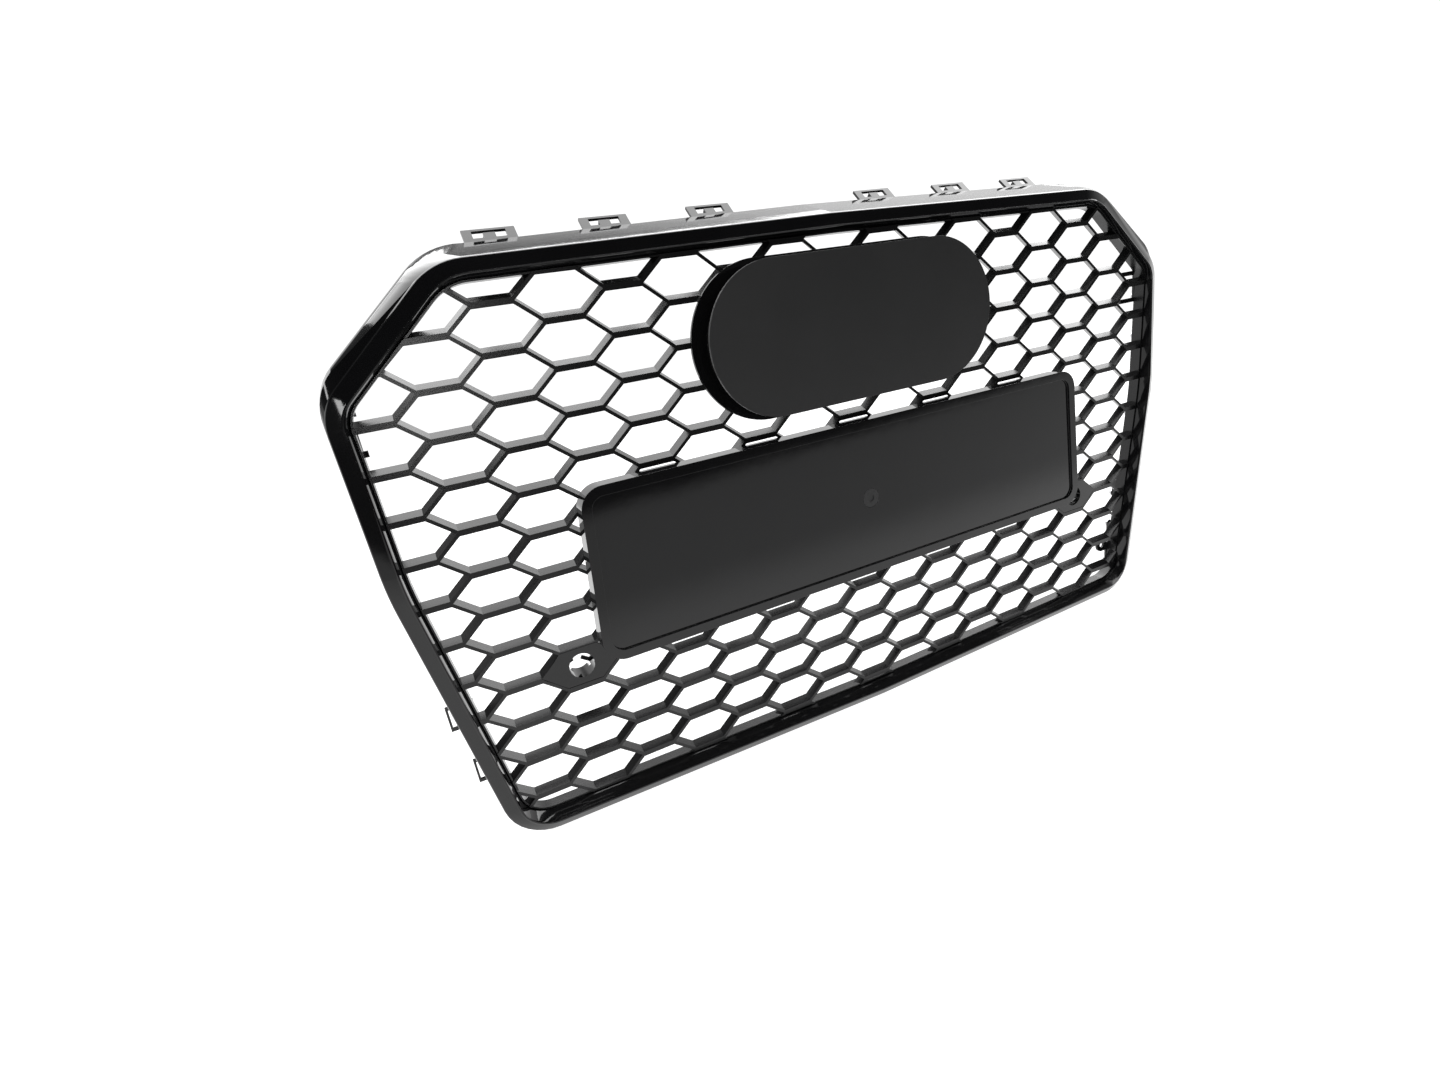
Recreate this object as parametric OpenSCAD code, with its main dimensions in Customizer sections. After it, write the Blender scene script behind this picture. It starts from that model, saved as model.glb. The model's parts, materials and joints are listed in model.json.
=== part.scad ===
// Front grille of a car: surround, honeycomb mesh, badge carrier, number-plate carrier and their fixings.
// X runs across the car, Y from front to back and Z up. The origin is the middle of the grille's box.

/* [Surround] */
// Half width at the widest corners
wide_half = 454; // [420:1:520]
// Height of the widest corners over the mesh centre
wide_z = 147; // [120:1:160]
// How far the top corners stand in from the widest corners
top_in = 101; // [80:1:120]
// Height of the top corners over the mesh centre
top_z = 237; // [225:1:246]
// Rise of the top edge at the middle
top_crown = 4; // [2:1:10]
// How far the sides stand in from the widest corners at the mesh centre
mid_in = 4; // [0:1:20]
// How far the bottom corners stand in from the widest corners
bottom_in = 43; // [30:1:70]
// Depth of the bottom corners under the mesh centre
bottom_z = 259; // [250:1:275]
// How far the middle of the bottom edge hangs under its corners
bottom_crown = 8; // [3:1:14]
// Radius of the widest corners
wide_round = 42; // [34:1:60]
// Radius of the top corners
top_round = 60; // [40:1:80]
// Radius of the bottom corners
bottom_round = 44; // [36:1:56]
// Depth from the mesh centre to the back edge of the top
surround_depth = 50; // [42:1:60]
// Depth from the mesh centre to the back edge of the sides and the bottom
side_depth = 12; // [11:0.5:16]
// Wall of the surround
surround_wall = 3; // [2.5:0.1:3.6]
// Face width along the top
band_top = 13; // [11:0.5:14]
// Face width along the sides
band_side = 14; // [11:0.5:14.5]
// Face width along the bottom
band_bottom = 11; // [9:0.5:13]
// Distance from the outer edge to the mesh along the top and the sides
reveal_side = 16; // [15.5:0.5:22]
// Distance from the outer edge to the mesh along the bottom
reveal_bottom = 17; // [16:0.5:23]
// How far the back edge stands out at the top
flare_top = 17; // [10:1:21]
// How far the back edge stands out at the upper slants
flare_slant = 11; // [6:1:14]
// How far the back edge stands out at the sides and the bottom
flare_side = 1; // [0.5:0.5:3]

/* [Mesh] */
// Distance between neighbouring columns of cells
column_pitch = 53; // [50:0.5:58]
// Distance between neighbouring rows of cells
row_pitch = 37.2; // [35:0.1:41]
// Length of a level bar between its corners
bar_length = 30.5; // [28:0.5:33]
// Height of a level bar
bar_height = 5; // [4:0.2:8]
// Thickness of a slanted bar
slant_thick = 3; // [2.4:0.1:4.2]
// Depth of the mesh from front to back
mesh_depth = 8; // [7:0.5:10]
// Rise of the cell walls towards the back, in degrees
mesh_lean = 27; // [10:1:32]
// Width of the border around the mesh
border = 1.5; // [1.2:0.1:2.5]
// Thickness of the mounting flange behind the border
flange_thick = 3; // [2.5:0.5:4]
// Width of the mounting flange
flange_width = 10.5; // [9.5:0.5:11]

/* [Badge] */
// Width of the badge plate
badge_w = 313; // [270:1:330]
// Height of the badge plate
badge_h = 134; // [110:1:140]
// Height of the badge centre over the mesh centre
badge_z = 140; // [138:1:142]
// Distance from the mesh front to the face of the badge plate
badge_proud = 29; // [26:1:36]
// Thickness of the badge plate
badge_thick = 3; // [2:0.5:4]
// Wall of the badge carrier
carrier_wall = 2.5; // [2:0.1:4]

/* [Number plate] */
// Width of the plate carrier at its top edge
plate_w = 582; // [560:1:600]
// Extra width of the plate carrier at its bottom edge
plate_spread = 16; // [0:1:20]
// Height of the plate carrier
plate_h = 160; // [140:1:164]
// Distance from the mesh front to the face of the plate carrier
plate_proud = 18; // [16:1:24]
// Corner radius of the plate carrier
plate_round = 21; // [15:1:26]
// Width of the bead around the face
bead = 9; // [6:0.5:10]
// Height of the bead over the face
bead_rise = 2.5; // [1.5:0.5:3.5]
// Wall of the plate carrier
plate_wall = 2.5; // [2:0.1:3.5]
// Radius of the hole for the plug
plug_r = 8; // [6:0.5:10]

/* [Sensor holders] */
// Column of the sensor cells, counted from the middle
sensor_column = 6; // [6:2:6]
// Radius of the hole for a parking sensor
sensor_r = 11.75; // [10:0.25:12.5]
// Thickness of the sensor panel
sensor_panel = 3; // [2.5:0.5:4]

/* [Fixings] */
// Width of a top bracket
tab_w = 44; // [38:1:50]
// Height of a top bracket above the surround
tab_rise = 11; // [9:0.5:14]
// Thickness of a bracket
tab_thick = 2.5; // [2:0.5:3.5]
// Radius of the shank of a small screw
screw_r = 2; // [1.5:0.1:2.2]
// Radius of the head of a small screw
screw_head_r = 4.5; // [4:0.1:4.8]
// Radius of the bolt hole in a lower lug
lug_hole_r = 3.5; // [2.5:0.25:4.5]

/* [Hidden] */
fit = 0.3;
run_fit = 0.05;
facets = 64;
arc_steps = 8;
eps = 0.01;

mesh_half = mesh_depth / 2;
top_half = wide_half - top_in;
mid_half = wide_half - mid_in;
bottom_half = wide_half - bottom_in;
// How far the plate carrier's middle is under the mesh centre.
plate_rise = 30;

back_y = surround_depth;
slant_back_y = 2 * side_depth;
ledge_y = 6;
ledge_width = 6;
flange_y = ledge_y;
screw_inset = 4;

gloss = [0.06, 0.06, 0.065];
satin = [0.16, 0.16, 0.17];
steel = [0.7, 0.7, 0.72];
rubber = [0.1, 0.1, 0.1];

// ---- Plane geometry of the outline, as [x, z] points that run clockwise ----

function unit(v) = v / norm(v);
function cross2(a, b) = a.x * b.y - a.y * b.x;
function inward(u) = [u.y, -u.x];
function turn(v, a) = [v.x * cos(a) + v.y * sin(a), -v.x * sin(a) + v.y * cos(a)];
function meet(p, u, q, v) = p + u * cross2(q - p, v) / cross2(u, v);

corners = [[0, top_z + top_crown], [top_half, top_z], [wide_half, wide_z], [mid_half, 0],
    [bottom_half, -bottom_z], [0, -bottom_z - bottom_crown], [-bottom_half, -bottom_z],
    [-mid_half, 0], [-wide_half, wide_z], [-top_half, top_z]];
rounds = [400, top_round, wide_round, 300, bottom_round, 400, bottom_round, 300, wide_round, top_round];
edge_count = len(corners);
// Depth of the outer edge and of the inner lip at each corner: the face leans forward to the lip.
front_y = [-2, -3, -4, -9, -11, -11, -11, -9, -4, -3];
lip_y = [-7, -8, -10, -15, -17, -17, -17, -15, -10, -8];
// The back edge is deep along the top and comes forward round the top corners: its depth at the two
// ends of each corner.
low_back = [for (k = [2 : 8]) side_depth];
back_from = concat([back_y, back_y], low_back, [slant_back_y]);
back_to = concat([back_y, slant_back_y], low_back, [back_y]);
shoulder_from = front_y * 0.7 + back_from * 0.3;
shoulder_to = front_y * 0.7 + back_to * 0.3;

function edge_dir(k) = unit(corners[(k + 1) % edge_count] - corners[k % edge_count]);
// The side of each edge: 0 top, 1 upper slant, 2 side, 3 bottom.
edge_sides = [0, 1, 2, 2, 3, 3, 2, 2, 1, 0];
function edge_shift(k, in) = in[edge_sides[k % edge_count]];
function edge_point(k, in) = corners[k % edge_count] + inward(edge_dir(k)) * edge_shift(k, in);
function corner_at(k, in) = let (j = (k + edge_count - 1) % edge_count)
    meet(edge_point(j, in), edge_dir(j), edge_point(k, in), edge_dir(k));
function corner_arc(k, in) =
    let (j = (k + edge_count - 1) % edge_count,
        u = edge_dir(j),
        v = edge_dir(k),
        bend = acos(min(1, u * v)),
        r = max(4, rounds[k] - (edge_shift(j, in) + edge_shift(k, in)) / 2),
        c = corner_at(k, in) - u * r * tan(bend / 2) + inward(u) * r)
    [for (s = [0 : arc_steps]) c - turn(inward(u), bend * s / arc_steps) * r];
function outline(in) = [for (k = [0 : edge_count - 1]) each corner_arc(k, in)];
function all_in(d) = [d, d, d, d];
function all_y(y) = [for (c = corners) y];
reveal = [reveal_side, reveal_side, reveal_side, reveal_bottom];
band = [band_top, band_side, band_side, band_bottom];
flare = [flare_top, flare_slant, flare_side, flare_side];
shoulder = [flare_top * 0.3, flare_slant * 0.75, flare_side * 0.5, flare_side * 0.5];

// A point on the outline's edge k, a share along it, moved in by a distance.
function on_edge(k, share, in) = corners[k] + (corners[(k + 1) % edge_count] - corners[k]) * share
    + inward(edge_dir(k)) * in;

// A closed ring that follows the outline. Each step of its section is [inset by side, y by corner], and a
// third list gives y at the far end of each corner where it differs.
module outline_sweep(section) {
    ring_size = edge_count * (arc_steps + 1);
    steps = len(section);
    points = [for (s = section) let (ring = outline(s[0]))
        for (j = [0 : ring_size - 1])
            let (k = floor(j / (arc_steps + 1)),
                share = (j % (arc_steps + 1)) / arc_steps,
                far = len(s) > 2 ? s[2] : s[1])
            [ring[j].x, s[1][k] * (1 - share) + far[k] * share, ring[j].y]];
    faces = [for (i = [0 : steps - 1]) for (j = [0 : ring_size - 1])
        let (a = i * ring_size + j,
            b = i * ring_size + (j + 1) % ring_size,
            c = ((i + 1) % steps) * ring_size + (j + 1) % ring_size,
            d = ((i + 1) % steps) * ring_size + j)
        each [[a, b, c], [a, c, d]]];
    polyhedron(points = points, faces = faces, convexity = 10);
}

// A flat plate in the XZ plane from y0 to y1.
module slab(y0, y1) {
    translate([0, y1, 0]) rotate([90, 0, 0]) linear_extrude(height = y1 - y0) children();
}

module rod(x, z, y0, y1, r) {
    translate([x, y1, z]) rotate([90, 0, 0]) cylinder(h = y1 - y0, r = r, $fn = facets);
}

module outline_plate(in, y0, y1) {
    slab(y0, y1) polygon(outline(in));
}

module outline_ring(outer, inner, y0, y1) {
    slab(y0, y1) difference() {
        polygon(outline(outer));
        polygon(outline(inner));
    }
}

module block(x0, x1, y0, y1, z0, z1) {
    translate([x0, y0, z0]) cube([x1 - x0, y1 - y0, z1 - z0]);
}

module placed() {
    translate(centre) children();
}

// Height of the outer edge of the top wall, without its flare.
function top_edge_z(x) = top_z + top_crown * (1 - abs(x) / top_half);
function top_back_z(x) = top_edge_z(x) + flare_top;
tab_places = [-298, -198, -95, 95, 198, 298];
tab_lean = 45;
tab_root = 2.5;
function tab_length() = (tab_rise + tab_root) / cos(tab_lean);

// The box of the whole grille around the mesh centre, and the move that centres it.
box_front = -mesh_half - badge_proud;
box_back = back_y + tab_length() * sin(tab_lean) + tab_thick * cos(tab_lean);
box_top = max([for (x = tab_places) top_back_z(x) + tab_rise]);
box_bottom = min([for (p = outline(-flare)) p.y]);
centre = -[0, box_front + box_back, box_top + box_bottom] / 2;

// ---- Screw places on the mesh flange ----

flange_edges = [[0, 0.22], [0, 0.78], [1, 0.5], [2, 0.55], [3, 0.12], [3, 0.36], [4, 0.2], [4, 0.7],
    [5, 0.3], [5, 0.8], [6, 0.64], [6, 0.88], [7, 0.45], [8, 0.5], [9, 0.22], [9, 0.78]];
flange_screws = [for (e = flange_edges) on_edge(e[0], e[1], reveal[edge_sides[e[0]]] - screw_inset)];
// A place on side edge 2 or 3 at a height, moved in by a distance.
function side_place(k, z, in) = on_edge(k, (corners[k].y - z) / (corners[k].y - corners[k + 1].y), in);
corner_z = wide_z - 22;
lug_z = -bottom_z + 58;
side_bracket_z = [lug_z + 73, lug_z + 15];
corner_screws = [for (s = [-1, 1]) side_place(2, corner_z + s * 12, reveal_side - screw_inset)];
lug_screws = [for (drop = [26, 8]) side_place(3, lug_z - drop, reveal_side - screw_inset)];
side_screws = [for (z = side_bracket_z) for (s = [-8, 8]) side_place(3, z + s, reveal_side - screw_inset)];
// Screws of the rear brackets: the lower lug is on the right only.
rear_screws = concat([for (p = corner_screws) for (s = [-1, 1]) [s * p.x, p.y]], lug_screws);
bracket_screws = concat(rear_screws, [for (p = side_screws) for (s = [-1, 1]) [s * p.x, p.y]]);
boss_r = 3.6;
boss_y = 1;
screw_head_h = 2.5;

// A pan head screw whose head bears on y and whose shank points to the front.
module screw(x, z, y, length) {
    rod(x, z, y, y + screw_head_h, screw_head_r);
    rod(x, z, y - length, y + eps, screw_r);
}

// ---- Surround ----

frame_section = [
    [-flare, back_from, back_to],
    [-shoulder, shoulder_from, shoulder_to],
    [all_in(-0.3), front_y + all_y(2)],
    [all_in(0.2), front_y + all_y(0.5)],
    [all_in(1.2), front_y - all_y(0.8)],
    [band - all_in(3), lip_y + all_y(1.1)],
    [band - all_in(1.4), lip_y],
    [band - all_in(0.3), lip_y + all_y(0.3)],
    [band + all_in(0.3), lip_y + all_y(1.8)],
    [reveal - all_in(0.4), all_y(-3)],
    [reveal, all_y(1)],
    [reveal, all_y(ledge_y)],
    [reveal - all_in(ledge_width), all_y(ledge_y)],
    [reveal - all_in(ledge_width - 0.5), all_y(ledge_y - 2.5)],
    [reveal - all_in(surround_wall + 0.6), all_y(0)],
    [band - all_in(surround_wall), lip_y + all_y(5.2)],
    [all_in(surround_wall + 0.6), front_y + all_y(3.6)],
    [all_in(surround_wall) - shoulder, shoulder_from + all_y(1), shoulder_to + all_y(1)],
    [all_in(surround_wall) - flare, back_from, back_to]];

pad_h = 12;
pad_depth = 9;
tab_screw_up = 4.8;
tab_screw_gap = 28;
function pad_z(x) = top_back_z(x) - surround_wall - pad_h;

module surround() {
    color(gloss) placed() difference() {
        union() {
            outline_sweep(frame_section);
            for (p = flange_screws) rod(p.x, p.y, boss_y, ledge_y, boss_r);
            for (x = tab_places)
                block(x - tab_w / 2, x + tab_w / 2, back_y - pad_depth, back_y,
                    pad_z(x), pad_z(x) + pad_h - 0.5);
            for (p = bracket_screws) rod(p.x, p.y, boss_y, ledge_y, boss_r);
        }
        for (p = flange_screws) rod(p.x, p.y, boss_y, ledge_y + eps, screw_r);
        for (p = bracket_screws) rod(p.x, p.y, boss_y, ledge_y + eps, screw_r);
        for (x = tab_places) for (s = [-1, 1])
            rod(x + s * tab_screw_gap / 2, pad_z(x) + tab_screw_up, back_y - tab_screw_depth, back_y + eps,
                screw_r);
    }
}
tab_screw_depth = 7;

// ---- Honeycomb mesh ----

slant_run = column_pitch - bar_length;
slant_length = norm([slant_run, row_pitch / 2]);
cell_tip = (column_pitch + slant_run) / 2 - slant_thick / 2 * slant_length / (row_pitch / 2);
cell_half = row_pitch / 2 - bar_height / 2;
// Long enough for the leaning cell to cut through both faces of the mesh all round.
cell_length = 2 * (mesh_half + 1 + cell_half * sin(mesh_lean)) / cos(mesh_lean);
cell_shoulder = cell_tip - cell_half * slant_run / (row_pitch / 2);
columns = floor(wide_half / column_pitch) + 1;
rows = floor(bottom_z / row_pitch) + 1;
window_rim = 3;
rim_back_y = mesh_half + 3;

module cell() {
    rotate([mesh_lean, 0, 0]) rotate([90, 0, 0])
        linear_extrude(height = cell_length, center = true)
            polygon([for (p = [[-cell_tip, 0], [-cell_shoulder, 1], [cell_shoulder, 1], [cell_tip, 0],
                [cell_shoulder, -1], [-cell_shoulder, -1]]) [p.x, p.y * cell_half * cos(mesh_lean)]]);
}

// Column 0 is the middle one and has a cell centre half a row off the mesh centre.
function cell_z(c, r) = (r + (c % 2 == 0 ? 0 : 0.5)) * row_pitch;

module lattice() {
    difference() {
        outline_plate(reveal + all_in(fit), -mesh_half, mesh_half);
        for (c = [-columns : columns]) for (r = [-rows : rows])
            translate([c * column_pitch, 0, cell_z(c, r)]) cell();
    }
}

sensor_x = sensor_column * column_pitch;
sensor_z = -3 * row_pitch;

// Half height of the plate seat window and how far it stays inside the carrier.
seat_inset = 24;
seat_top = plate_h / 2 - plate_rise - seat_inset + 6;
seat_bottom = -plate_h / 2 - plate_rise + seat_inset - 8;
seat_half = plate_w / 2 - seat_inset;

module rounded_box(half, z0, z1, r) {
    hx = half - r;
    union() {
        translate([-hx, z0]) square([2 * hx, z1 - z0]);
        translate([-half, z0 + r]) square([2 * half, z1 - z0 - 2 * r]);
        for (x = [-hx, hx]) for (z = [z0 + r, z1 - r]) translate([x, z]) circle(r = r, $fn = facets);
    }
}

module stadium(w, h) {
    translate([0, badge_z]) {
        square([w - h, h], center = true);
        for (s = [-1, 1]) translate([s * (w - h) / 2, 0]) circle(d = h, $fn = 2 * facets);
    }
}

badge_window_w = badge_w - 26;
badge_window_h = badge_h - 26;
seat_round = 8;

module honeycomb_mesh() {
    color(gloss) placed() difference() {
        union() {
            lattice();
            outline_ring(reveal + all_in(fit), reveal + all_in(fit + border),
                -mesh_half + 1, flange_y + flange_thick);
            outline_ring(reveal + all_in(border + fit - flange_width), reveal + all_in(border + fit - eps),
                flange_y, flange_y + flange_thick);
            slab(-mesh_half, rim_back_y) rounded_box(seat_half + window_rim, seat_bottom - window_rim,
                seat_top + window_rim, seat_round + window_rim);
            slab(-mesh_half, rim_back_y)
                stadium(badge_window_w + 2 * window_rim, badge_window_h + 2 * window_rim);
            for (s = [-1, 1]) translate([s * sensor_x, 0, sensor_z]) sensor_frame();
        }
        slab(-mesh_half - eps, rim_back_y + eps) rounded_box(seat_half, seat_bottom, seat_top, seat_round);
        slab(-mesh_half - eps, rim_back_y + eps) stadium(badge_window_w, badge_window_h);
        for (p = concat(flange_screws, bracket_screws))
            rod(p.x, p.y, flange_y - eps, flange_y + flange_thick + eps, screw_r + run_fit);
        for (p = seat_screws_at) rod(p.x, ear_z(p.y), -mesh_half + 2, rim_back_y + eps, screw_r);
        for (s = [-1, 1]) translate([s * sensor_x, 0, sensor_z]) sensor_cut();
    }
}

// ---- Parking sensor cells: a frame moulded in the mesh, a panel in front and a retainer behind ----

panel_grow = 1.5;
function hexagon(grow) = [[-cell_tip - grow, 0], [-cell_shoulder - grow / 2, cell_half + grow],
    [cell_shoulder + grow / 2, cell_half + grow], [cell_tip + grow, 0],
    [cell_shoulder + grow / 2, -cell_half - grow], [-cell_shoulder - grow / 2, -cell_half - grow]];

module sensor_frame() {
    slab(-mesh_half + sensor_panel, mesh_half) polygon(hexagon(panel_grow + 1));
}

socket_r = sensor_r + 5;
module sensor_cut() {
    slab(-mesh_half - 1, -mesh_half + sensor_panel) polygon(hexagon(panel_grow + fit));
    rod(0, 0, -mesh_half, mesh_half + 1, socket_r - 0.5);
}

module sensor_holder(side) {
    color(gloss) placed() translate([side * sensor_x, 0, sensor_z]) difference() {
        union() {
            slab(-mesh_half, -mesh_half + sensor_panel) polygon(hexagon(panel_grow));
            rod(0, 0, -mesh_half + sensor_panel - eps, mesh_half + socket_tail, sensor_r + 2.5);
        }
        rod(0, 0, -mesh_half - 1, mesh_half + socket_tail + 1, sensor_r);
        for (a = [0, 90]) rotate([0, a + 45, 0])
            block(-1.5, 1.5, mesh_half + 4, mesh_half + socket_tail + 1, -socket_r, socket_r);
    }
}
socket_tail = 14;
retainer_y = mesh_half + fit;
module sensor_holder_left() { sensor_holder(-1); }
module sensor_holder_right() { sensor_holder(1); }

// The arms that hold a sensor's back, behind the end of the socket.
arm_turns = [35, 160];
arm_y = mesh_half + socket_tail + 0.5;
arm_half = 1.8;
arm_tip = 4.5;

module sensor_retainer(side) {
    inner = sensor_r + 2.5 + run_fit;
    color(satin) placed() translate([side * sensor_x, 0, sensor_z]) difference() {
        union() {
            rod(0, 0, retainer_y, retainer_y + 3, inner + 6);
            rod(0, 0, retainer_y + 3 - eps, retainer_y + 10, inner + 2);
            for (s = [-1, 1])
                block(s * (inner + 8) - 5, s * (inner + 8) + 5, retainer_y, retainer_y + 3, -4, 4);
        }
        rod(0, 0, retainer_y - 1, retainer_y + 11, inner);
    }
    color(satin) placed() translate([side * sensor_x, 0, sensor_z]) for (a = arm_turns) rotate([0, a, 0]) {
        block(inner + fit, inner + 2, retainer_y + 9, arm_y + 2, -arm_half, arm_half);
        block(arm_tip, inner + 2, arm_y, arm_y + 2, -arm_half, arm_half);
    }
}
module sensor_retainer_left() { sensor_retainer(-1); }
module sensor_retainer_right() { sensor_retainer(1); }

// ---- Screws of the mesh ----

module mesh_screws() {
    color(steel) placed() for (p = flange_screws)
        screw(p.x, p.y, flange_y + flange_thick, flange_thick + 4.5);
}

// ---- Badge carrier and plate ----

badge_face_y = -mesh_half - badge_proud;
badge_back_y = badge_face_y + badge_thick;
badge_gap = 2.5;
badge_lip = 9;
badge_posts = [[-100, 38], [100, 38], [-100, -38], [100, -38]];
badge_screws_at = [[-70, 46], [70, 46], [-70, -46], [70, -46]];
post_r = 3;
grommet_r = 5;

module badge_carrier() {
    front = badge_back_y + badge_gap;
    color(gloss) placed() difference() {
        union() {
            slab(front, -mesh_half) stadium(badge_w - 2 * badge_lip, badge_h - 2 * badge_lip);
            slab(-mesh_half - 3, -mesh_half) stadium(badge_w + 12, badge_h + 8);
            slab(-mesh_half, mesh_half) stadium(badge_window_w - 2 * fit, badge_window_h - 2 * fit);
        }
        slab(front + carrier_wall, mesh_half + 1)
            stadium(badge_window_w - 2 * fit - 2 * carrier_wall, badge_window_h - 2 * fit - 2 * carrier_wall);
        for (p = badge_posts)
            rod(p.x, badge_z + p.y, front - 1, front + carrier_wall + 1, grommet_r + run_fit);
    }
    color(gloss) placed() for (s = [-1, 1]) difference() {
        block(-85, 85, mesh_half - 8, rim_back_y + carrier_wall, badge_z + s * 46 - 6, badge_z + s * 46 + 6);
        for (x = [-70, 70]) rod(x, badge_z + s * 46, mesh_half - 6, mesh_half + 7, screw_r);
    }
}

module badge_carrier_screws() {
    color(steel) placed() for (p = badge_screws_at)
        screw(p.x, badge_z + p.y, mesh_half + 8, 10);
}

module grommet(x, z, y) {
    difference() {
        union() {
            rod(x, z, y - 1.5, y, grommet_r + 1.5);
            rod(x, z, y - eps, y + carrier_wall + eps, grommet_r);
            rod(x, z, y + carrier_wall, y + carrier_wall + 1.5, grommet_r + 1);
        }
        rod(x, z, y - 3, y + carrier_wall + 3, post_r + run_fit);
    }
}

module badge_grommets() {
    color(rubber) placed() for (p = badge_posts) grommet(p.x, badge_z + p.y, badge_back_y + badge_gap);
}

module badge_plate() {
    color(satin) placed() {
        slab(badge_face_y, badge_back_y) stadium(badge_w, badge_h);
        for (p = badge_posts)
            rod(p.x, badge_z + p.y, badge_back_y - eps, badge_back_y + badge_gap + carrier_wall + 5, post_r);
    }
}

// ---- Number-plate seat, carrier and plug ----

plate_face_y = -mesh_half - plate_proud;
plate_rim_y = plate_face_y - bead_rise;
seat_front_y = plate_face_y + plate_wall + 6;
plug_gap = 0.1;
plate_posts = [[-220, 35], [220, 35], [-220, -35], [220, -35]];
seat_screws_at = [[-150, 1], [0, 1], [150, 1], [-150, -1], [0, -1], [150, -1]];

function plate_edge(x_in, z_in) =
    let (h = plate_h / 2 - z_in)
    [for (p = [[-1, 1], [1, 1], [1, -1], [-1, -1]])
        [p.x * (plate_w / 2 - x_in + (1 - p.y) / 2 * plate_spread / 2), p.y * h - plate_rise]];

module plate_shape(d) {
    r = plate_round - d;
    p = plate_edge(d + r, d + r);
    union() {
        polygon([p[0] + [0, r], p[1] + [0, r], p[1] + [r, 0], p[2] + [r, 0], p[2] - [0, r], p[3] - [0, r],
            p[3] - [r, 0], p[0] - [r, 0]]);
        for (c = p) translate(c) circle(r = r, $fn = facets);
    }
}

module plate_carrier() {
    color(gloss) placed() difference() {
        union() {
            slab(plate_face_y, plate_face_y + plate_wall) plate_shape(0.5);
            slab(plate_rim_y, -mesh_half - 0.5) difference() {
                plate_shape(0);
                plate_shape(plate_wall);
            }
            slab(plate_rim_y, plate_face_y + eps) difference() {
                plate_shape(1);
                plate_shape(bead);
            }
            for (p = plate_posts) {
                rod(p.x, p.y - plate_rise, plate_face_y + plate_wall - eps, seat_front_y - 2, grommet_r + 2);
                rod(p.x, p.y - plate_rise, plate_face_y + plate_wall, seat_front_y + carrier_wall + 5,
                    post_r);
            }
            rod(0, -plate_rise, plate_face_y + plate_wall - eps, seat_front_y - 1, plug_r + 3);
        }
        rod(0, -plate_rise, plate_face_y - 1, seat_front_y + 1, plug_r);
        rod(0, -plate_rise, plate_face_y - 1, plate_face_y + plug_head + plug_gap, plug_r + 1.5 + plug_gap);
    }
}

plug_head = 1.2;
module plate_plug() {
    color(satin) placed() difference() {
        union() {
            rod(0, -plate_rise, plate_face_y, plate_face_y + plug_head, plug_r + 1.5);
            rod(0, -plate_rise, plate_face_y + eps, seat_front_y - 2, plug_r - run_fit);
        }
        rod(0, -plate_rise, plate_face_y + plug_head + 1.5, seat_front_y + 1, plug_r - 2);
        rod(0, -plate_rise, plate_face_y - 1, plate_face_y + 0.6, plug_r * 0.45);
    }
}

module plate_seat() {
    color(gloss) placed() difference() {
        union() {
            slab(seat_front_y, ear_back_y)
                rounded_box(seat_half - fit, seat_bottom + fit, seat_top - fit, seat_round);
            slab(-mesh_half - 3, -mesh_half) plate_shape(plate_wall + 0.5);
            for (p = seat_screws_at) seat_ear(p);
        }
        slab(seat_front_y + carrier_wall, ear_back_y + 1)
            rounded_box(seat_half - fit - carrier_wall, seat_bottom + fit + carrier_wall,
                seat_top - fit - carrier_wall, seat_round - carrier_wall);
        for (p = plate_posts) rod(p.x, p.y - plate_rise, seat_front_y - 1, seat_front_y + carrier_wall + 1,
            grommet_r + run_fit);
        for (p = seat_screws_at) rod(p.x, ear_z(p.y), mesh_half - 20, mesh_half + 10, screw_r + run_fit);
    }
    color(gloss) placed() for (x = [-150, 0, 150]) block(x - 1.5, x + 1.5, seat_front_y + carrier_wall - eps,
        mesh_half - 2, seat_bottom + carrier_wall, seat_top - carrier_wall);
}

ear = 7;
ear_back_y = rim_back_y + carrier_wall;
function ear_z(s) = s > 0 ? seat_top + window_rim / 2 : seat_bottom - window_rim / 2;
module seat_ear(p) {
    z = ear_z(p.y);
    block(p.x - ear, p.x + ear, rim_back_y, ear_back_y, z - ear, z + ear);
}

module plate_seat_screws() {
    color(steel) placed() for (p = seat_screws_at) screw(p.x, ear_z(p.y), ear_back_y, 8);
}

module plate_grommets() {
    color(rubber) placed() for (p = plate_posts) grommet(p.x, p.y - plate_rise, seat_front_y);
}

// ---- Brackets at the back of the surround ----

window_w = 28;
window_h = 9;
module top_bracket(x) {
    z0 = pad_z(x);
    sill = tab_length() - window_h - 2.5;
    screw_z = z0 + tab_screw_up;
    color(gloss) placed() {
        difference() {
            block(x - tab_w / 2, x + tab_w / 2, back_y, back_y + tab_thick, z0, top_back_z(x) - 1);
            for (s = [-1, 1])
                rod(x + s * tab_screw_gap / 2, screw_z, back_y - 1, back_y + tab_thick + 1,
                    screw_r + run_fit);
        }
        translate([x, back_y, top_back_z(x) - tab_root]) rotate([-tab_lean, 0, 0]) {
            difference() {
                block(-tab_w / 2, tab_w / 2, 0, tab_thick, 0, tab_length());
                block(-window_w / 2, window_w / 2, -1, tab_thick + 1, sill, sill + window_h);
            }
            block(-5, 5, 0.5, 2, sill - 1, sill + window_h - 2);
            block(-5, 5, 0.5, 4.5, sill + window_h - 3.5, sill + window_h - 2);
        }
    }
}
module top_bracket_1() { top_bracket(tab_places[0]); }
module top_bracket_2() { top_bracket(tab_places[1]); }
module top_bracket_3() { top_bracket(tab_places[2]); }
module top_bracket_4() { top_bracket(tab_places[3]); }
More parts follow.
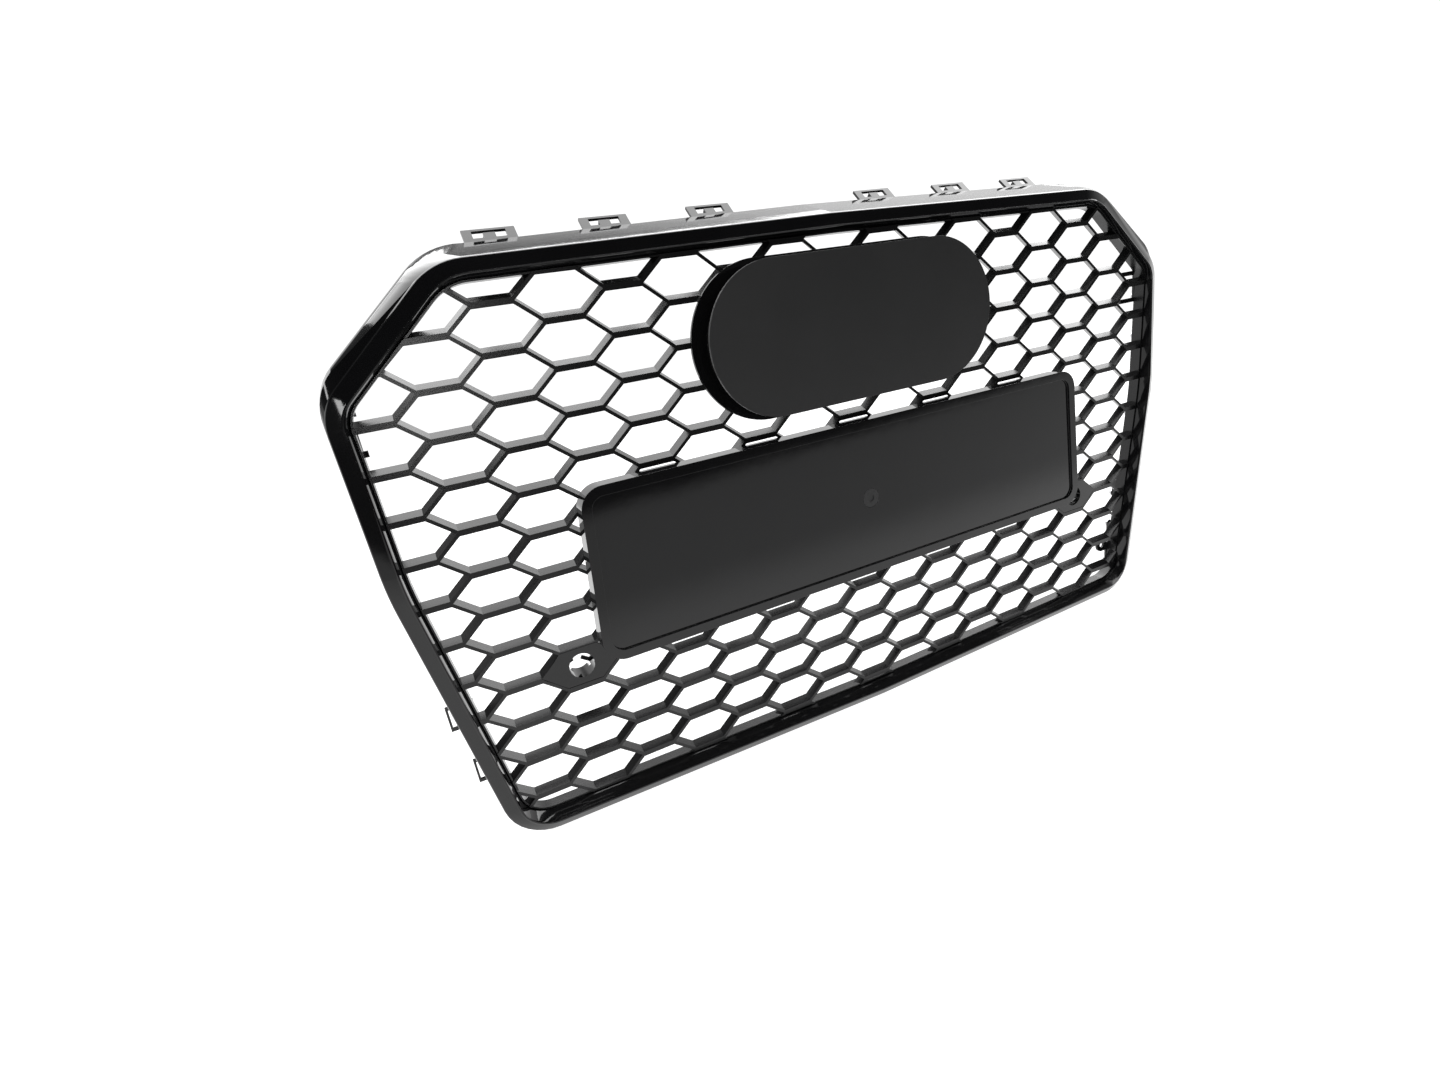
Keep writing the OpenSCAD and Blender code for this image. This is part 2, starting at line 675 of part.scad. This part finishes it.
module top_bracket_5() { top_bracket(tab_places[4]); }
module top_bracket_6() { top_bracket(tab_places[5]); }

module top_bracket_screws() {
    color(steel) placed() for (x = tab_places) for (s = [-1, 1])
        screw(x + s * tab_screw_gap / 2, pad_z(x) + tab_screw_up, back_y + tab_thick,
            tab_thick + tab_screw_depth - 1);
}

side_reach = 8;
side_tab_h = 24;
side_foot = 16;
side_foot_gap = 7;
side_plate_y = side_depth + fit;
module side_bracket(side, z) {
    edge = side_place(3, z, 0).x;
    z0 = z - side_tab_h / 2;
    z1 = z + side_tab_h / 2;
    color(gloss) placed() mirror([side > 0 ? 0 : 1, 0, 0]) difference() {
        union() {
            block(edge - side_foot, edge - side_foot_gap, rear_y, side_plate_y + eps, z0, z1);
            block(edge - side_foot, edge + side_reach, side_plate_y, side_plate_y + tab_thick, z0, z1);
        }
        block(edge + 1, edge + side_reach - 2, side_plate_y - 1, side_plate_y + tab_thick + 1,
            z0 + 3, z1 - 3);
        for (s = [-8, 8]) let (p = side_place(3, z + s, reveal_side - screw_inset))
            rod(p.x, p.y, rear_y - 1, side_plate_y + tab_thick + 1, screw_r + run_fit);
    }
}
module side_bracket_left_upper() { side_bracket(-1, side_bracket_z[0]); }
module side_bracket_left_lower() { side_bracket(-1, side_bracket_z[1]); }
module side_bracket_right_upper() { side_bracket(1, side_bracket_z[0]); }
module side_bracket_right_lower() { side_bracket(1, side_bracket_z[1]); }

module side_bracket_screws() {
    color(steel) placed() for (m = [0, 1]) mirror([m, 0, 0]) for (p = side_screws)
        screw(p.x, p.y, side_plate_y + tab_thick, side_plate_y + tab_thick - boss_y - 0.5);
}

rear_y = flange_y + flange_thick;
rear_x = flange_width - border - screw_inset;
// The prongs of the right corner bracket are longer than the left ones.
function corner_reach(side) = side > 0 ? 30 : 9;
corner_prong = 5;
module corner_bracket(side) {
    low = corner_screws[0];
    high = corner_screws[1];
    reach = low.x - corner_reach(side);
    color(gloss) placed() mirror([side > 0 ? 0 : 1, 0, 0]) difference() {
        block(reach, high.x + rear_x - 2, rear_y, rear_y + tab_thick, corner_z - 18, corner_z + 18);
        block(reach - 1, low.x - 6, rear_y - 1, rear_y + tab_thick + 1,
            corner_z - 18 + corner_prong, corner_z + 18 - corner_prong);
        for (p = corner_screws) rod(p.x, p.y, rear_y - 1, rear_y + tab_thick + 1, screw_r + run_fit);
    }
}
module corner_bracket_left() { corner_bracket(-1); }
module corner_bracket_right() { corner_bracket(1); }

lug_x = lug_screws[0].x - 14;
lug_r = 9;
module lower_lug() {
    low = lug_screws[0];
    high = lug_screws[1];
    color(gloss) placed() difference() {
        union() {
            block(low.x - 5, high.x + 2, rear_y, rear_y + tab_thick, low.y - 4, lug_z + 0.5);
            block(lug_x, low.x, rear_y, rear_y + tab_thick, lug_z - lug_r, lug_z + 0.5);
            rod(lug_x, lug_z, rear_y, rear_y + tab_thick, lug_r);
        }
        rod(lug_x, lug_z, rear_y - 1, rear_y + tab_thick + 1, lug_hole_r);
        for (p = lug_screws) rod(p.x, p.y, rear_y - 1, rear_y + tab_thick + 1, screw_r + run_fit);
    }
}

module rear_bracket_screws() {
    color(steel) placed() for (p = rear_screws)
        screw(p.x, p.y, rear_y + tab_thick, tab_thick + flange_thick + 4.5);
}

surround();
honeycomb_mesh();
mesh_screws();
badge_carrier();
badge_carrier_screws();
badge_grommets();
badge_plate();
plate_seat();
plate_seat_screws();
plate_grommets();
plate_carrier();
plate_plug();
sensor_holder_left();
sensor_holder_right();
sensor_retainer_left();
sensor_retainer_right();
top_bracket_1();
top_bracket_2();
top_bracket_3();
top_bracket_4();
top_bracket_5();
top_bracket_6();
top_bracket_screws();
side_bracket_left_upper();
side_bracket_left_lower();
side_bracket_right_upper();
side_bracket_right_lower();
side_bracket_screws();
corner_bracket_left();
corner_bracket_right();
lower_lug();
rear_bracket_screws();
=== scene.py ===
import json
import math
import bpy
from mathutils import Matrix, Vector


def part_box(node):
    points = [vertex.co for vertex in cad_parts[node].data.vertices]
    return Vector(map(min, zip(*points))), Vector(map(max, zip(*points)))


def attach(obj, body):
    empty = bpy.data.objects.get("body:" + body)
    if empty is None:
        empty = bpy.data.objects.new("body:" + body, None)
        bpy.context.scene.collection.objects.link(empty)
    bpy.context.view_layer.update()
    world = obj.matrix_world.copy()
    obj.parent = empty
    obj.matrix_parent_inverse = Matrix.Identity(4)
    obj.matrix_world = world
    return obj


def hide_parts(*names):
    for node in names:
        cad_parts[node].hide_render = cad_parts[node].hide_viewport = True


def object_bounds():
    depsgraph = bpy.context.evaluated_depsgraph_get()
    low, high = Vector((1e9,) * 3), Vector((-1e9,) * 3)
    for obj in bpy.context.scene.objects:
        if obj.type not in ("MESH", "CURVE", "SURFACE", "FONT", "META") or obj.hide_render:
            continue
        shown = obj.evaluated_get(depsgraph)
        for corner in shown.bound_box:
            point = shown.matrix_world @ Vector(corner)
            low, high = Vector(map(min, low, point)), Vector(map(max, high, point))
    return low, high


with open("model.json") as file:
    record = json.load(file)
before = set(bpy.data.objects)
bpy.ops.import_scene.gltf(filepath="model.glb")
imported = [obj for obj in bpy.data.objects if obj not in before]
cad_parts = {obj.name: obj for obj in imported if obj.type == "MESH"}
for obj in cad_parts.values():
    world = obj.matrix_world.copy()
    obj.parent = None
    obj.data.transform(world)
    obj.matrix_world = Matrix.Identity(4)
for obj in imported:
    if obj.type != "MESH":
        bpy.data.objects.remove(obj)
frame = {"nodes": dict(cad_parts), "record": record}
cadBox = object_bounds()
print("frame loaded:", len(frame["nodes"]), "parts")

# A socket with plain arithmetic.
class Wire:
    def __init__(self, tree, socket):
        self.tree = tree
        self.socket = socket

    def maths(self, other, operation, flip=False):
        values = [other, self] if flip else [self, other]
        return Maker(self.tree).node("ShaderNodeMath", {"operation": operation}, values)

    def __add__(self, other): return self.maths(other, "ADD")
    def __radd__(self, other): return self.maths(other, "ADD")
    def __sub__(self, other): return self.maths(other, "SUBTRACT")
    def __rsub__(self, other): return self.maths(other, "SUBTRACT", True)
    def __mul__(self, other): return self.maths(other, "MULTIPLY")
    def __rmul__(self, other): return self.maths(other, "MULTIPLY")


class Maker:
    def __init__(self, tree):
        self.tree = tree

    def link(self, value, socket):
        if isinstance(value, Wire):
            self.tree.links.new(value.socket, socket)
        else:
            socket.default_value = value

    def node(self, kind, settings=None, values=None, output=0):
        made = self.tree.nodes.new(kind)
        for key, value in (settings or {}).items():
            setattr(made, key, value)
        pairs = values.items() if isinstance(values, dict) else enumerate(values or [])
        for name, value in pairs:
            self.link(value, made.inputs[name])
        return Wire(self.tree, made.outputs[output])

    def smooth(self, value, low, high):
        return self.node("ShaderNodeMapRange", {"interpolation_type": "SMOOTHSTEP"},
                         {"Value": value, "From Min": low, "From Max": high})

    def mixColour(self, share, dark, light):
        return self.node("ShaderNodeMix", {"data_type": "RGBA"}, {0: share, 6: dark, 7: light}, 2)


# One procedural finish: a fine noise and a broad noise move the colour, the roughness and the bump.
def makeFinish(name, look):
    material = bpy.data.materials.new(name)
    material.use_nodes = True
    shader = material.node_tree.nodes["Principled BSDF"]
    shader.inputs["IOR"].default_value = look["ior"]
    shader.inputs["Metallic"].default_value = look["metallic"]
    make = Maker(material.node_tree)
    place = make.node("ShaderNodeTexCoord", output="Object")
    broad, fine = [make.node("ShaderNodeTexNoise", values={"Vector": place, "Scale": look[size], "Detail": 3.0})
                   for size in ("broad", "fine")]
    make.link(make.mixColour(broad, look["dark"], look["light"]), shader.inputs["Base Color"])
    make.link(look["roughness"] + look["roughSpread"] * (0.6 * broad + 0.4 * fine), shader.inputs["Roughness"])
    grain = look["fineBump"] * fine + look["broadBump"] * broad
    bump = make.node("ShaderNodeBump", values={"Strength": 1.0, "Distance": 0.001, "Height": grain})
    make.link(bump, shader.inputs["Normal"])
    return material


finishes = {
    "gloss_black": {
        "dark": (0.003, 0.003, 0.0032, 1), "light": (0.0055, 0.0055, 0.006, 1), "metallic": 0.0, "ior": 1.44,
        "roughness": 0.03, "roughSpread": 0.06, "broad": 22.0, "fine": 700.0,
        "broadBump": 0.12, "fineBump": 0.006},
    "satin_black": {
        "dark": (0.016, 0.016, 0.0165, 1), "light": (0.021, 0.021, 0.0215, 1), "metallic": 0.0, "ior": 1.45,
        "roughness": 0.42, "roughSpread": 0.12, "broad": 14.0, "fine": 1800.0,
        "broadBump": 0.05, "fineBump": 0.05},
    "rubber_black": {
        "dark": (0.012, 0.012, 0.012, 1), "light": (0.022, 0.022, 0.022, 1), "metallic": 0.0, "ior": 1.4,
        "roughness": 0.6, "roughSpread": 0.2, "broad": 120.0, "fine": 2500.0,
        "broadBump": 0.1, "fineBump": 0.08},
    "screw_steel": {
        "dark": (0.42, 0.42, 0.43, 1), "light": (0.62, 0.62, 0.63, 1), "metallic": 1.0, "ior": 1.5,
        "roughness": 0.22, "roughSpread": 0.2, "broad": 200.0, "fine": 3000.0,
        "broadBump": 0.05, "fineBump": 0.04}}
meshLook = {**finishes["gloss_black"], "roughness": 0.2, "roughSpread": 0.1, "broadBump": 0.04}
coats = {slot: makeFinish(slot.title().replace("_", ""), look) for slot, look in finishes.items()}
slotOf = {part["node"]: part["material_slot"] for part in frame["record"]["subparts"]}
meshCoat = makeFinish("GlossBlackMesh", meshLook)  # the mesh is moulded a little duller than the surround
for name, node in frame["nodes"].items():
    node.data.materials.clear()
    node.data.materials.append(meshCoat if name == "honeycomb_mesh" else coats[slotOf[name]])
print("finishes made:", len(coats))

# Copies of the moulded parts with softened edges.
bodyOf = {name: body for body, names in frame["record"]["behaviour"]["bodies"].items() for name in names}
softEdges = {
    "surround": {"width": 0.0004, "steps": 2, "angle": 40},
    "honeycomb_mesh": {"width": 0.00045, "steps": 2, "angle": 30},
    "badge_carrier": {"width": 0.0015, "steps": 3, "angle": 30},
    "badge_plate": {"width": 0.0008, "steps": 3, "angle": 30},
    "plate_seat": {"width": 0.0005, "steps": 2, "angle": 30},
    "plate_carrier": {"width": 0.0008, "steps": 3, "angle": 30},
    "sensor_holder_left": {"width": 0.0006, "steps": 3, "angle": 30},
    "sensor_holder_right": {"width": 0.0006, "steps": 3, "angle": 30}}

mould = {"mergeWithin": 0.00001, "flatWithin": 0.5}  # metres, degrees

def softCopy(name, look):
    bpy.ops.object.select_all(action="DESELECT")
    node = frame["nodes"][name]
    node.select_set(True)
    bpy.context.view_layer.objects.active = node
    bpy.ops.object.duplicate(linked=False)
    piece = bpy.context.object
    piece.name = name + "Soft"
    bpy.ops.object.mode_set(mode="EDIT")
    bpy.ops.mesh.select_all(action="SELECT")
    bpy.ops.mesh.remove_doubles(threshold=mould["mergeWithin"])
    bpy.ops.mesh.dissolve_limited(angle_limit=math.radians(mould["flatWithin"]))
    bpy.ops.object.mode_set(mode="OBJECT")
    bpy.ops.object.modifier_add(type="BEVEL")
    rounding = piece.modifiers[-1]
    rounding.width = look["width"]
    rounding.segments = look["steps"]
    rounding.limit_method = "ANGLE"
    rounding.angle_limit = math.radians(look["angle"])
    rounding.use_clamp_overlap = True
    bpy.ops.object.modifier_apply(modifier=rounding.name)
    bpy.ops.object.shade_smooth_by_angle(angle=math.radians(look["angle"]))
    bpy.ops.object.modifier_add(type="WEIGHTED_NORMAL")
    flattening = piece.modifiers[-1]
    flattening.keep_sharp = True
    bpy.ops.object.modifier_apply(modifier=flattening.name)
    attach(piece, bodyOf[name])
    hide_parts(name)
    return piece


for name, look in softEdges.items():
    piece = softCopy(name, look)
    print(piece.name, len(piece.data.polygons), "faces")

# The room: a pale floor that glows though it is no lamp, painted dark towards the front where only reflections
# see it (painted reflection), a sky that is dim in front and overhead, and three lamps.
room = {"floorSize": 24.0, "floorGap": 0.0005, "floorGlow": 1.0, "floorRough": 0.95, "floorShine": 0.1,
        "frontLight": 0.08, "backLight": 1.12,
        "nearFade": (-0.62, -0.36), "nearGlow": 0.55, "farFade": (-1.35, -1.1), "farTurn": 0.15,
        "skyFade": (0.38, 0.52), "highSky": 0.12, "sideFade": (-0.5, 0.25),
        "dimGlow": (0.03, 0.03, 0.03, 1), "paleGlow": (1, 1, 1, 1),
        "dimFloor": (0.02, 0.02, 0.02, 1), "paleFloor": (0.24, 0.24, 0.24, 1)}
lamps = {
    "overhead": {"place": (1.0, 0.9, 1.6), "aim": (1.0, 0.85, 0.0), "size": (5.0, 2.6), "glow": 5.0},
    "tallLeft": {"place": (-1.7, -1.1, 0.5), "aim": (-0.45, 0.0, 0.1), "size": (0.1, 1.0), "glow": 12.0},
    "tallRight": {"place": (-0.35, -2.4, 0.7), "aim": (0.45, 0.0, -0.05), "size": (0.12, 1.8), "glow": 14.0}}

bpy.ops.object.select_all(action="DESELECT")
bpy.ops.mesh.primitive_plane_add(size=room["floorSize"], location=(0, 0, cadBox[0][2] - room["floorGap"]))
floor = bpy.context.object
floor.name = "floor"
bpy.ops.object.transform_apply(location=True, rotation=True, scale=True)

floorFinish = bpy.data.materials.new("paleFloor")
floorFinish.use_nodes = True
floorShader = floorFinish.node_tree.nodes["Principled BSDF"]
floorShader.inputs["Roughness"].default_value = room["floorRough"]
floorShader.inputs["Specular IOR Level"].default_value = room["floorShine"]
# Painted light: the floor glows by emission, though it is no lamp.
floorShader.inputs["Emission Strength"].default_value = room["floorGlow"]
make = Maker(floorFinish.node_tree)
place = make.node("ShaderNodeTexCoord", output="Object")
across, along = [make.node("ShaderNodeSeparateXYZ", values={"Vector": place}, output=side) for side in (0, 1)]
# Painted reflection: in reflections the floor's glow and colour are dark far in front, half bright nearer in
# and full white near the part. To the camera the floor stays plain white.
near = make.smooth(along, *room["nearFade"])
far = make.smooth(along + room["farTurn"] * across, *room["farFade"])
seen = make.node("ShaderNodeLightPath")  # the room is plain white to look at, and darker in reflections
paintedGlowShare = 1 - (1 - seen) * (1 - far * (room["nearGlow"] + (1 - room["nearGlow"]) * near))
make.link(make.mixColour(paintedGlowShare, room["dimGlow"], room["paleGlow"]), floorShader.inputs["Emission Color"])
make.link(make.mixColour(paintedGlowShare, room["dimFloor"], room["paleFloor"]), floorShader.inputs["Base Color"])
floor.data.materials.append(floorFinish)

world = bpy.data.worlds.new("studio")
bpy.context.scene.world = world
world.use_nodes = True
make = Maker(world.node_tree)
facing = make.node("ShaderNodeTexCoord", output="Generated")
depth, height = [make.node("ShaderNodeSeparateXYZ", values={"Vector": facing}, output=side) for side in (1, 2)]
share = make.smooth(depth, *room["sideFade"])
openSky = 1 - (1 - room["highSky"]) * make.smooth(height, *room["skyFade"])
sky = world.node_tree.nodes["Background"]
seen = make.node("ShaderNodeLightPath")
mirrored = openSky * (room["frontLight"] + (room["backLight"] - room["frontLight"]) * share)
make.link(room["backLight"] * seen + (1 - seen) * mirrored, sky.inputs["Strength"])
sky.inputs["Color"].default_value = (1, 1, 1, 1)

for name, lamp in lamps.items():
    bpy.ops.object.light_add(type="AREA", location=lamp["place"])
    light = bpy.context.object
    light.name = name
    light.data.shape = "RECTANGLE"
    light.data.size, light.data.size_y = lamp["size"]
    light.data.energy = lamp["glow"] * math.pi * lamp["size"][0] * lamp["size"][1]
    away = [a - c for a, c in zip(lamp["aim"], lamp["place"])]
    flat = math.hypot(away[0], away[1])
    light.rotation_euler = (math.atan2(flat, -away[2]), 0, math.atan2(-away[0], away[1]))

# The camera keeps its distance to the front middle of the badge plate.
view = {"fromBadge": (-0.3870, -0.5228, 0.0213), "turn": (71.65, 8.936, -24.91), "lens": 16.35}
low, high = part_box("badge_plate")
badge = ((low[0] + high[0]) / 2, low[1], (low[2] + high[2]) / 2)
bpy.ops.object.camera_add(location=[b + o for b, o in zip(badge, view["fromBadge"])],
                          rotation=[math.radians(a) for a in view["turn"]])
camera = bpy.context.object
camera.data.lens = view["lens"]
camera.data.sensor_width = 36
camera.data.clip_start = 0.01
bpy.context.scene.camera = camera
bpy.context.scene.view_settings.view_transform = "Standard"
print("camera set")
